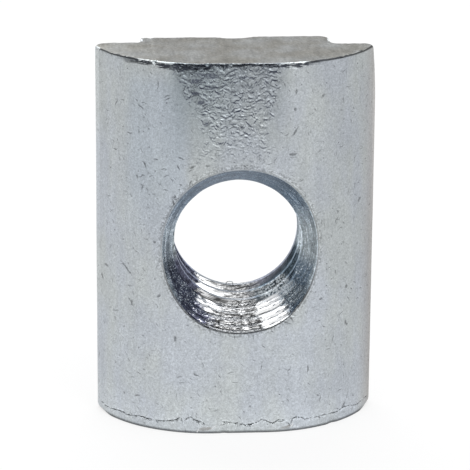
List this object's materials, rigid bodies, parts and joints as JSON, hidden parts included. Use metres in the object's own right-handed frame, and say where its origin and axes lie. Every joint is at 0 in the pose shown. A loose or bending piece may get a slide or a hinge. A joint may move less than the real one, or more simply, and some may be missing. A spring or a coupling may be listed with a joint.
{
  "type": "t-slot nut",
  "caption": "Plated steel slot nut with a round belly, wings under a raised neck, and a central tapped hole with countersunk mouths.",
  "frame": {"origin": "under the middle of the bar, on the lower sheared end that the nut stands on", "axes": "+X across the wings, +Y out of the neck face towards the slot's mouth, +Z along the bar"},
  "size_m": [0.0146, 0.006, 0.02],
  "materials": {
    "zinc_steel": "bright zinc plating over drawn steel, satin, with faint clouding"
  },
  "bodies": {
    "root": {"slot_nut": "zinc_steel"}
  },
  "joints": []
}
